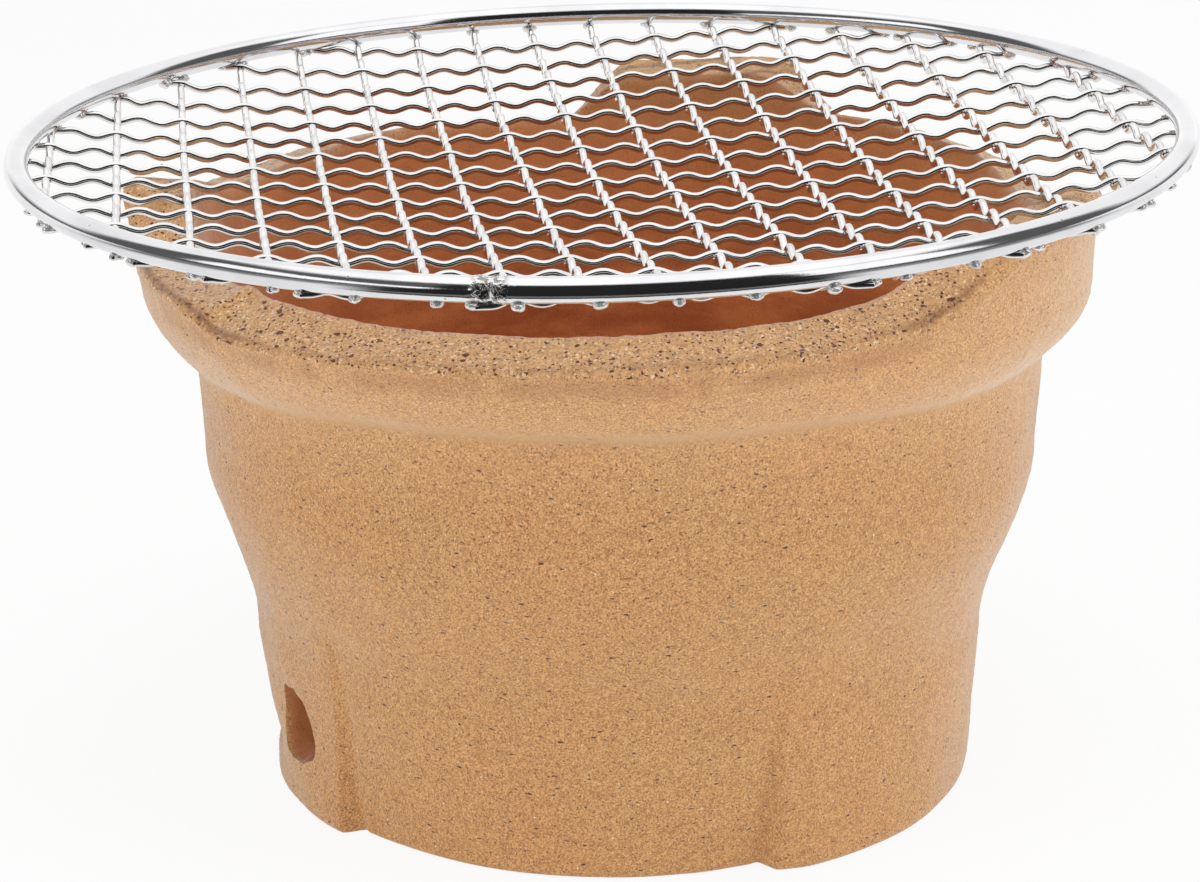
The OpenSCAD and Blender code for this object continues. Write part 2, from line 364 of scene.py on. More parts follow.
def panel_groove(az, z):
    """1 in the fine groove at the foot of a panel's step."""
    groove = np.zeros(np.broadcast(az, z).shape)
    for start, end in panel_edges(z):
        for edge, side in ((start, -1), (end, 1)):
            off = (az - edge - side * GROOVE_OFF + 180.0) % 360.0 - 180.0
            groove += np.exp(-(off / GROOVE_WIDE) ** 2)
    return groove


def soft_ramp(x, soft):
    """0 below zero and x above it, rounded over the soft width on either side."""
    return np.where(x > soft, x, np.where(x < -soft, 0.0, (x + soft) ** 2 / (4.0 * soft)))


def outer_r(z, az):
    """Radius of the body's outside."""
    foot, crease = around(az, FOOT_R), around(az, CREASE_Z)
    taper = (WAIST_R - foot) / WAIST_Z
    low = around(az, SHOULDER_LOW)
    shoulder = ease((z - low) / (SHOULDER_Z - low)) * (NECK_R - WAIST_R)
    neck = NECK_FLARE * np.clip((z - SHOULDER_Z) / (crease - SHOULDER_Z), 0.0, 1.0)
    step = np.clip(soft_ramp(z - crease, CREASE_SOFT) / COLLAR_RISE, 0.0, 1.0)
    collar = around(az, COLLAR_R) - NECK_R - NECK_FLARE
    collar = (1.0 - (1.0 - step) ** around(az, COLLAR_CURVE)) * collar
    lean = around(az, COLLAR_LEAN) * np.maximum(0.0, z - crease - COLLAR_RISE)
    fade = np.maximum(0.0, 1.0 - z / PANEL_TOP)
    recess = fade * (PANEL_RISE * (1.0 - panel_share(az, z)) + PANEL_GROOVE * panel_groove(az, z))
    dent_az, dent_z, wide, high, deep = SIDE_DENT
    dent = deep * np.exp(-(((az - dent_az) / wide) ** 2) - ((z - dent_z) / high) ** 2)
    return foot + taper * np.minimum(z, WAIST_Z) + shoulder + neck + collar + lean - recess - dent


def inner_r(z):
    """Radius of the bowl's inside."""
    flare = BOWL_FLARE * np.maximum(0.0, z - BOWL_FLARE_Z) ** 2
    return np.minimum(BOWL_LOW_R + BOWL_SLOPE * (z - LEDGE_Z) + flare, BOWL_TOP_R)


def net_height(x, y):
    """Height of the net's middle plane over a place, in the frame."""
    lean_x, lean_y = math.radians(NET_LEAN[0]), math.radians(NET_LEAN[1])
    u, w = x - NET_CENTRE[0], y - NET_CENTRE[1]
    return NET_CENTRE[2] + math.tan(lean_x) * w - math.tan(lean_y) * u + net_h(u, w)


def rim_z(r, az):
    """Height of the rim: scraped dips that fall outwards, and lobes that carry the net."""
    edge = outer_r(RIM_NEAR_Z, az)
    dip = around(az, DIP_Z) + around(az, RIM_RISE) * (edge - r) / RIM_WALL
    x, y = r * np.sin(np.radians(az)), -r * np.cos(np.radians(az))
    lobe = net_height(x, y) - LONG_CRIMP - WIRE_R - LOBE_GAP
    share = around(az + around(az, FLANK_TURN) * (r - RIM_INNER_R) / RIM_WALL, LOBE_SHARE)
    return dip + (lobe - dip) * share


def rim_corner(az, outside):
    """Radius and height where the rim meets the outer or the inner wall."""
    z = rim_z(outer_r(RIM_NEAR_Z, az) if outside else RIM_START_R, az)
    for _ in range(4):
        r = outer_r(z, az) if outside else inner_r(z)
        z = rim_z(r, az)
    return r, z


def body_section(az):
    """Rows of (r, z, kind, az) from the middle of the underside round to the middle of the floor.

    The kind is 0 outside, 1 on the rim and 2 inside.
    """
    rows = []

    def add(r, z, kind):
        rows.append(np.stack(np.broadcast_arrays(r, z, kind, az), axis=0))

    # The underside, the foot's rounded edge and the wall up to the shoulder
    foot = outer_r(0.0, az) - FOOT_ROUND
    for share in (0.15, 0.4, 0.65, 0.85, 0.96):
        add(foot * share, 0.0, 0)
    for angle in np.radians(np.linspace(-90, -6, 7)):
        lift = FOOT_ROUND * (1 + math.sin(angle))
        add(foot + FOOT_ROUND * math.cos(angle) + outer_r(lift, az) - outer_r(0.0, az), lift, 0)
    for z in np.arange(2.4, SHOULDER_Z - 0.4, 1.1):
        add(outer_r(z, az), z, 0)

    # The neck, closer together towards the crease, and the collar
    out_r, out_z = rim_corner(az, True)
    in_r, _ = rim_corner(az, False)
    crease = around(az, CREASE_Z)
    rounding = RIM_ROUND + (around(az, LOBE_ROUND) - RIM_ROUND) * around(az, LOBE_SHARE)
    for share in np.linspace(0, 1, 19)[:-1]:
        z = SHOULDER_Z + (crease - SHOULDER_Z) * (1.0 - (1.0 - share) ** 1.5)
        add(outer_r(z, az), z, 0)
    for share in np.linspace(0, 1, 36):
        z = crease + (out_z - rounding - crease) * share
        add(outer_r(z, az), z, 0)

    # The rim, with its rounded outer and inner edge
    for angle in np.radians((12, 24, 37, 50, 63, 76)):
        r = out_r - rounding * (1 - math.cos(angle))
        add(r, rim_z(r, az) - rounding * (1 - math.sin(angle)), 1)
    low, high = in_r + RIM_INNER_ROUND, out_r - rounding
    for share in np.linspace(0, 1, 20):
        r = high + (low - high) * share
        add(r, rim_z(r, az), 1)
    for angle in np.radians((40, 80)):
        r = low - RIM_INNER_ROUND * math.sin(angle)
        z = rim_z(low, az) - RIM_INNER_ROUND * (1 - math.cos(angle))
        add(r, z, 1)

    # The bowl down to its ledge, the ledge and its rounded lip
    top = rim_z(low, az) - RIM_INNER_ROUND
    for share in np.linspace(0.02, 1, 44):
        z = top + (LEDGE_Z + 0.6 - top) * share
        add(inner_r(z), z, 2)
    for share in (0.05, 0.3, 0.6, 0.85):
        add(BOWL_LOW_R - 0.4 + (ASH_R + LEDGE_ROUND - BOWL_LOW_R + 0.4) * share, LEDGE_Z, 2)
    for angle in np.radians((0, 30, 60, 90)):
        add(ASH_R + LEDGE_ROUND * (1 - math.sin(angle)),
            LEDGE_Z - LEDGE_ROUND * (1 - math.cos(angle)), 2)

    # The ash space and its floor
    for z in np.linspace(LEDGE_Z - 3.0, FLOOR_Z + FLOOR_FILLET + 1.0, 18):
        add(ASH_R, z, 2)
    for angle in np.radians(np.linspace(0, 90, 7)):
        add(ASH_R - FLOOR_FILLET * (1 - math.cos(angle)),
            FLOOR_Z + FLOOR_FILLET * (1 - math.sin(angle)), 2)
    for share in (0.85, 0.65, 0.4, 0.15):
        add((ASH_R - FLOOR_FILLET) * share, FLOOR_Z, 2)
    return np.array(rows)


def rim_pits(grid, kind, count=70, seed=31):
    """Depth of the pits that the scraper tore out of the rim."""
    rng = np.random.default_rng(seed)
    depth = np.zeros(grid.shape[:2])
    rim_rows = np.where((kind == 1).any(axis=1))[0]
    band = grid[rim_rows]
    rows, columns = band.shape[:2]
    for _ in range(count):
        i, j = rng.integers(1, rows - 1), rng.integers(0, columns)
        size = rng.uniform(0.8, 1.2)
        near = (np.arange(-6, 7) + j) % columns
        off = band[:, near] - band[i, j]
        pit = rng.uniform(0.3, 0.5) * np.exp(-((off / size * 2.0) ** 2).sum(-1))
        depth[np.ix_(rim_rows, near)] += pit
    return depth


def clay_body():
    """The whole body, with a hand-finished surface, its air holes and its zones."""
    columns = 960
    az = np.arange(columns) * 360.0 / columns - 180.0
    section = body_section(az)
    r, z, kind, azimuth = (section[:, i] for i in range(4))
    grid = polar(r, azimuth, z)
    flat = grid.reshape(-1, 3)
    normal = grid_normals(grid)
    # Uneven turning marks that lie round the body, fine grain, and the scraper's tracks on the rim
    stretched = flat * (1.0, 1.0, 2.5)
    soft = 0.28 * waves(stretched, 60.0, 1) + 0.13 * waves(flat, 17.0, 2)
    fine = 0.04 * waves(flat, 3.4, 3) + 0.025 * waves(flat, 1.9, 4)
    rim = 0.06 * waves(flat, 5.2, 5) + 0.04 * waves(flat, 2.3, 6)
    shift = np.where(kind == 1, rim.reshape(kind.shape), 0.0) - rim_pits(grid, kind)
    above_ground = ease(z / 2.0)
    shift = shift + (soft + fine).reshape(kind.shape) * above_ground
    grid = grid + normal * shift[..., None]
    body = turned_grid("clay_body", grid, (0.0, 0.0, 0.0), (0.0, 0.0, FLOOR_Z))
    cut(body, [air_hole_cutter("cut_front", AIR_HOLE_FRONT_AZ, AIR_HOLE_FRONT, 11),
               air_hole_cutter("cut_back", AIR_HOLE_BACK_AZ, AIR_HOLE_BACK, 12)])
    body.data.set_sharp_from_angle(angle=SHARP_ANGLE)
    mask_body(body)
    return body


def air_hole_cutter(name, az, outline, seed):
    """A rough tube through the foot's wall that follows a hand-cut outline."""
    ring = closed_spline(outline, 72)
    middle = ring.mean(0)
    rows = []
    for r in np.linspace(*HOLE_RADII, 34):
        shrink = 1.0 - HOLE_TAPER * max(0.0, HOLE_FACE_R - r)
        rows.append([(s, -r, h) for s, h in middle + (ring - middle) * shrink])
    grid = np.array(rows)
    push = grid - np.array([middle[0], 0.0, middle[1]])
    push[..., 1] = 0.0
    push /= np.linalg.norm(push, axis=-1, keepdims=True)
    flat = grid.reshape(-1, 3)
    noise = 0.24 * waves(flat, 5.0, seed) + 0.12 * waves(flat, 1.8, seed + 9)
    grid = grid + push * noise.reshape(grid.shape[:2])[..., None]
    cos, sin = math.cos(math.radians(az)), math.sin(math.radians(az))
    grid = grid @ np.array([[cos, -sin, 0], [sin, cos, 0], [0, 0, 1]]).T
    return turned_grid(name, grid[:, ::-1], grid[0].mean(0), grid[-1].mean(0))


def mask_body(body):
    """Stores the body's zones: its scraped rim with both edges (a painted highlight on the inner one,
    painted shade on the outer one), the collar's crease with its painted highlight, its blush, and all
    that is inside."""
    points = mesh_points(body)
    r = np.hypot(points[:, 0], points[:, 1])
    az = np.degrees(np.arctan2(points[:, 0], -points[:, 1]))
    z = points[:, 2]
    depth = outer_r(z, az) - r
    lobe = around(az, LOBE_SHARE)
    top = rim_z(np.clip(r, *RIM_RADII), az)
    wall = inner_r(z)
    rim = ease((z - top + 1.5) / 0.8) * ease((r - wall + 0.4) / 0.6)
    outside = 1.0 - ease((depth - 1.2) / 1.0)
    below = top - z
    store(body, "scraped", rim * (1.0 - 0.6 * ease((lobe - 0.6) / 0.4)))
    # The air holes' sides, which lie low, count as inside closer to the face
    start = np.where(z < 40.0, 0.8, 2.2)
    store(body, "inside", ease((depth - start) / 1.0) * (z > 3.0) * (1.0 - rim))
    # The crease's zone: fewer small grains there, and a painted highlight
    store(body, "crease", outside * np.exp(-((z - around(az, CREASE_Z) - 0.4) / 1.5) ** 2))
    store(body, "blush", outside * ease((below - 1.0) / 1.5) * ease((8.0 - below) / 3.5) * (1.0 - lobe))
    # Zone of the painted highlight along the rim's rounded inner edge
    store(body, "edge", np.exp(-((r - wall - 0.5) / 0.75) ** 2) * ease((z - top + 1.4) / 0.6))
    store(body, "torn", around(az, TORN))
    # Painted shade along the rim's rounded outer edge
    store(body, "arris_shade", np.exp(-((depth - 1.1) / 0.9) ** 2) * rim * around(az, ARRIS_SHADE))


# ======== fire grate

def fire_grate():
    """The loose disc on the ledge, with a hole in its middle and two rings of holes."""
    low, high = (corner[2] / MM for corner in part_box("fire_grate"))
    columns = 360
    az = np.arange(columns) * 360.0 / columns
    rows = []
    for r in (0.08, 0.16, *np.arange(0.22, 0.97, 0.025)):
        rows.append((r * GRATE_R, low))
    for angle in np.radians(np.linspace(-90, 0, 6)):
        rows.append((GRATE_R - GRATE_ROUND * (1 - math.cos(angle)),
                     low + GRATE_ROUND * (1 + math.sin(angle))))
    for share in (0.25, 0.5, 0.75):
        rows.append((GRATE_R, low + GRATE_ROUND + (high - low - 2 * GRATE_ROUND) * share))
    for angle in np.radians(np.linspace(0, 90, 6)):
        rows.append((GRATE_R - GRATE_ROUND * (1 - math.cos(angle)),
                     high - GRATE_ROUND * (1 - math.sin(angle))))
    for r in (*np.arange(0.96, 0.21, -0.025), 0.16, 0.08):
        rows.append((r * GRATE_R, high))
    grid = np.array([polar(r, az, np.full(columns, z)) for r, z in rows])
    flat = grid.reshape(-1, 3)
    noise = 0.09 * waves(flat, 14.0, 51) + 0.05 * waves(flat, 3.0, 52)
    grid = grid + grid_normals(grid) * (noise.reshape(grid.shape[:2]) - 0.12)[..., None]
    grate = turned_grid("fire_grate_disc", grid, (0, 0, low), (0, 0, high))
    cut(grate, [grate_cutter(x, y, low, high) for x, y in grate_holes()])
    grate.data.set_sharp_from_angle(angle=SHARP_ANGLE)
    return grate


def grate_holes():
    """Centres of the grate's holes: one in the middle, then 6 and 12 in rings."""
    holes = [(0.0, 0.0)]
    for ring in (1, 2):
        for k in range(6 * ring):
            x, y, _ = polar(ring * GRATE_RING_STEP, 60.0 * k / ring, 0.0)
            holes.append((float(x), float(y)))
    return holes


def grate_cutter(x, y, low, high):
    """A hole whose two mouths flare softly."""
    columns = 40
    az = np.arange(columns) * 360.0 / columns
    rows = []
    for h in (-0.6, 0.0, 0.4, 0.9, 1.6, GRATE_MOUTH):
        flare = GRATE_FLARE * (1 - ease(max(0.0, h) / GRATE_MOUTH))
        rows.append((GRATE_HOLE_D / 2 + flare, low + h))
    rows += [(r, low + high - z) for r, z in reversed(rows)]
    grid = np.array([polar(r, az, np.full(columns, z)) for r, z in rows]) + (x, y, 0.0)
    return turned_grid("cut_hole", grid, (x, y, rows[0][1]), (x, y, rows[-1][1]))


# ======== net

NET_TURN = Euler([math.radians(a) for a in NET_LEAN]).to_matrix()


def net_to_frame(points):
    """Points in the frame, from points in the plane of the ring."""
    return np.asarray(points, float) @ np.array(NET_TURN).T + NET_CENTRE


def net_h(u, w):
    """Height of the net's middle plane: it sags, is warped a little across its corners, and lies
    closer to the bar at the front right."""
    rho, az = np.hypot(u, w) / RING_R, np.degrees(np.arctan2(u, -w))
    lift = NET_LIFT * ease((rho - 0.90) / 0.06) * ease((az + 15.0) / 8.0) * ease((100.0 - az) / 30.0)
    warp = NET_WARP * u * w / RING_R * (1.0 - rho**6)
    return NET_EDGE_H - NET_SAG * (1.0 - rho**2) + warp + lift


def tube(name, line, side, sizes, sides=12):
    """A tube along a line that lies in an upright plane; side is that plane's normal."""
    along = np.gradient(line, axis=0)
    along /= np.linalg.norm(along, axis=1)[:, None]
    up = np.cross(np.broadcast_to(side, along.shape), along)
    up /= np.linalg.norm(up, axis=1)[:, None]
    turn = np.arange(sides) / sides * 2 * math.pi
    wide, high = sizes[:, 0, None, None], sizes[:, 1, None, None]
    grid = (line[:, None] + side * wide * np.cos(turn)[None, :, None]
            + up[:, None] * high * np.sin(turn)[None, :, None])
    ends = net_to_frame(line[[0, -1]])
    return turned_grid(name, net_to_frame(grid)[:, ::-1], *ends)


def wire(name, turn, offset, first_crossing, crossing_step, crimp, seed):
    """One crimped wire at an offset from the ring's centre, along a direction in its plane."""
    rng = np.random.default_rng(seed)
    along = np.array([math.cos(turn), math.sin(turn), 0.0])
    side = np.array([-math.sin(turn), math.cos(turn), 0.0])
    half = math.sqrt((RING_R + WIRE_END_REACH + rng.uniform(-0.3, 0.4)) ** 2 - offset**2)
    tip = np.array([0.0, 0.04, 0.12, 0.25, 0.42, 0.62])
    middle = np.linspace(WIRE_TIP - half, half - WIRE_TIP, int(2 * half / WIRE_STEP))
    s = np.concatenate([tip - half, middle, half - tip[::-1]])
    wander = 0.12 * np.cos(s / rng.uniform(14, 24) + rng.uniform(0, 6.3))
    place = s[:, None] * along + (offset + wander)[:, None] * side
    wave = np.cos(HALF_WAVES * math.pi * (s - first_crossing) / crossing_step) * crimp
    fade = ease((half - np.abs(s) - 1.2) / WIRE_END_FADE)
    height = net_h(place[:, 0], place[:, 1]) + wave
    place[:, 2] = WIRE_END_H + (height - WIRE_END_H) * fade
    squeeze = ease(1.0 - (half - np.abs(s)) / SQUEEZE_RUN)
    inward = np.clip((half - np.abs(s)) / CAP_RUN, 0.0, 1.0)
    cap = np.sqrt(np.maximum(1.0 - (1.0 - inward) ** 2, 0.02))
    sizes = np.stack([WIRE_R * (1 + SQUEEZE_WIDE * squeeze) * cap,
                      WIRE_R * (1 - SQUEEZE_FLAT * squeeze) * cap], -1)
    return tube(name, place, side, sizes), [place[0], place[-1]]


def net_wires():
    """All wires, each with the node that it stands for, and where they end under the ring."""
    skew = math.radians(LONG_TURN - CROSS_TURN)
    made, ends = [], []

    def add(kind, number, turn, offset, crossing, pitch, crimp, seed):
        piece, tips = wire(f"wire_{kind}_{number + 1:02d}", turn, offset,
                           crossing / math.cos(skew), pitch / math.cos(skew), crimp, seed + number)
        made.append((piece, f"{kind}_wire_{number + 1:02d}"))
        ends.extend(tips)

    for number, i in enumerate(LONG_WIRES):
        offset = LONG_FIRST + LONG_PITCH * i
        add("long", number, math.radians(LONG_TURN) + math.pi / 2, -offset,
            CROSS_FIRST - offset * math.sin(skew), CROSS_PITCH,
            LONG_CRIMP * (-1 if i % 2 == 0 else 1), 100)
    for number, i in enumerate(reversed(CROSS_WIRES)):
        offset = CROSS_FIRST - CROSS_PITCH * i
        add("cross", number, math.radians(CROSS_TURN), offset,
            LONG_FIRST - offset * math.sin(skew), LONG_PITCH,
            CROSS_CRIMP * (1 if i % 2 == 0 else -1), 200)
    return made, ends


def net_ring():
    """The bar, with the rough and slightly pinched butt weld at the front left."""
    # Degrees from the weld, in finer steps beside it
    far = np.arange(0, 360, 0.5)
    near = np.arange(-6.0, 6.0, 0.1)
    off = np.concatenate([near, far[(far >= 6.0) & (far < 354.0)]])
    sides = 48
    turn = np.arange(sides) / sides * 2 * math.pi
    out = polar(np.cos(turn)[None, :], (off + WELD_AZ)[:, None], np.sin(turn)[None, :])
    centre = polar(RING_R, off + WELD_AZ, 0.0)[:, None]
    flat = (centre + BAR_R * out).reshape(-1, 3)
    wrapped = ((off + 180.0) % 360.0 - 180.0)[:, None]
    weld = np.exp(-(wrapped / WELD_SPAN) ** 2)
    lumps = (0.09 * waves(flat, 2.2, 71) + 0.06 * waves(flat, 1.0, 72)).reshape(len(off), sides)
    collars = 0.10 * np.exp(-((np.abs(wrapped) - 0.95) / 0.55) ** 2)
    pinch = 0.17 * np.exp(-(wrapped / 0.30) ** 2)
    grid = centre + out * (BAR_R + weld * lumps + collars - pinch)[..., None]
    ring = mesh_object("ring_bar", net_to_frame(grid)[:, ::-1].reshape(-1, 3),
                       grid_faces(len(off), sides, close_rows=True))
    store(ring, "weld", np.broadcast_to(weld, (len(off), sides))[:, ::-1].ravel())
    return ring


def weld_beads(ends, seed=91):
    """The lumps of weld between each wire's end and the bar, as one piece."""
    rng = np.random.default_rng(seed)
    rows, columns = 9, 14
    polar_angle = np.pi * (np.arange(rows) + 0.5) / rows
    turn = np.arange(columns) / columns * 2 * math.pi
    ball = np.stack(np.broadcast_arrays(np.sin(polar_angle)[:, None] * np.cos(turn),
                                        np.sin(polar_angle)[:, None] * np.sin(turn),
                                        np.cos(polar_angle)[:, None]), -1)
    ball = np.concatenate([ball.reshape(-1, 3), [[0, 0, 1], [0, 0, -1]]])
    points, faces = [], []
    for end in ends:
        away = np.array([end[0], end[1], 0.0])
        away /= np.linalg.norm(away)
        side = np.array([-away[1], away[0], 0.0])
        size = rng.uniform(0.85, 1.2)
        centre = np.array([end[0], end[1], 0.0]) - away * rng.uniform(0.5, 1.2)
        centre[2] = BEAD_H
        scale = np.array([rng.uniform(1.1, 1.5), rng.uniform(1.15, 1.5), rng.uniform(0.8, 1.05)]) * size
        lump = 1 + 0.13 * waves(ball + rng.uniform(0, 50, 3), 1.6, int(rng.integers(1 << 30)), 8)
        local = ball * lump[:, None] * scale
        placed = centre + local[:, :1] * away + local[:, 1:2] * side + local[:, 2:] * (0, 0, 1)
        faces += [face[::-1] for face in closed_faces(rows, columns, first=len(points))]
        points += placed.tolist()
    return mesh_object("ring_welds", net_to_frame(points), faces)


# ======== materials

# Share of a grain's size that is fully of its colour
GRAIN_CORE = 0.55


def linear(red, green, blue):
    """Linear colour of 8-bit screen values."""
    def channel(v):
        v /= 255.0
        return v / 12.92 if v <= 0.04045 else ((v + 0.055) / 1.055) ** 2.4
    return (channel(red), channel(green), channel(blue), 1.0)


class Tree:
    """Adds nodes to a material's or the world's tree."""

    def __init__(self, owner):
        owner.use_nodes = True
        self.nodes = owner.node_tree.nodes
        self.links = owner.node_tree.links
        self.nodes.clear()

    def add(self, kind, inputs=None, out=0, **settings):
        """A node with its inputs linked or set; gives the output that is asked for."""
        made = self.nodes.new(kind)
        for key, value in settings.items():
            setattr(made, key, value)
        for key, value in (inputs or {}).items():
            if isinstance(value, bpy.types.NodeSocket):
                self.links.new(value, made.inputs[key])
            else:
                made.inputs[key].default_value = value
        return made.outputs[out] if len(made.outputs) else made

    def maths(self, operation, a, b=0.0, c=0.0):
        return self.add("ShaderNodeMath", {0: a, 1: b, 2: c}, operation=operation)

    def times(self, a, b):
        return self.maths("MULTIPLY", a, b)

    def plus(self, a, b):
        return self.maths("ADD", a, b)

    def step(self, value, low, high):
        """0 below low and 1 above high, eased between; low may lie above high."""
        return self.add("ShaderNodeMapRange", {0: value, 1: low, 2: high, 3: 0.0, 4: 1.0},
                        interpolation_type="SMOOTHSTEP")

    def mix(self, share, a, b):
        """From colour a to colour b."""
        return self.add("ShaderNodeMix", {0: share, 6: a, 7: b}, out=2, data_type="RGBA")

    def tint(self, colour, mask, share, target):
        """The colour taken a share of the way to the target, where the mask is 1."""
        return self.mix(self.times(mask, share), colour, target)

    def blend(self, share, a, b):
        """From number a to number b."""
        return self.add("ShaderNodeMix", {0: share, 2: a, 3: b})

    def window(self, value, low, high, soft):
        """1 from low to high, eased over the soft width outside them."""
        return self.times(self.step(value, low - soft, low), self.step(value, high + soft, high))

    def ramp(self, value, low, high, first, last):
        """From first at low to last at high, straight and held beyond both."""
        return self.add("ShaderNodeMapRange", {0: value, 1: low, 2: high, 3: first, 4: last})

    def scale(self, colour, factor):
        return self.add("ShaderNodeVectorMath", {0: colour, "Scale": factor}, operation="SCALE")

    def warp(self, place, length, reach):
        """The place pushed about in features of a length, by a reach, in millimetres."""
        push = self.add("ShaderNodeTexNoise",
                        {"Vector": place, "Scale": 1.0 / (length * MM), "Detail": 1.0}, out="Color")
        return self.add("ShaderNodeVectorMath", {0: push, 1: (reach * MM,) * 3, 2: place},
                        operation="MULTIPLY_ADD")

    def noise(self, place, length, detail=2.0, roughness=0.5):
        """Noise with features of about this length in millimetres."""
        return self.add("ShaderNodeTexNoise", {"Vector": place, "Scale": 1.0 / (length * MM),
                                               "Detail": detail, "Roughness": roughness})

    def cells(self, place, length, out="Distance"):
        """Distance from the middle of the nearest of scattered cells, or that cell's random colour."""
        return self.add("ShaderNodeTexVoronoi",
                        {"Vector": place, "Scale": 1.0 / (length * MM)}, out=out)

    def place(self, stretch=(1.0, 1.0, 1.0), shift=(0.0, 0.0, 0.0)):
        """Object coordinates, stretched, and shifted by millimetres."""
        where = self.add("ShaderNodeTexCoord", out=3)
        return self.add("ShaderNodeMapping", {"Vector": where, "Scale": stretch,
                                              "Location": [v * MM for v in shift]})

    def xyz(self, vector):
        return self.add("ShaderNodeSeparateXYZ", {0: vector}).node.outputs

    def attribute(self, name):
        return self.add("ShaderNodeAttribute", out=2, attribute_name=name)


def new_material(name):
    material = bpy.data.materials.new(name)
    return material, Tree(material)


def finish_material(tree, colour, roughness, height, bump_mm, constants):
    """Ends a material's tree; the constants are set on the shader's own sockets."""
    normal = tree.add("ShaderNodeBump", {"Height": height, "Strength": 1.0, "Distance": bump_mm * MM})
    inputs = {"Base Color": colour, "Roughness": roughness, "Normal": normal, **constants}
    shader = tree.add("ShaderNodeBsdfPrincipled", inputs)
    tree.add("ShaderNodeOutputMaterial", {"Surface": shader})


def grains(tree, place, length, size, share):
    """A mask of scattered grains: cells of a length, of which a share holds a grain of a size."""
    near = tree.step(tree.cells(place, length), size, size * GRAIN_CORE)
    pick = tree.add("ShaderNodeSeparateColor", {0: tree.cells(place, length, out="Color")})
    return tree.times(near, tree.step(pick, 1 - share, 1.02 - share))


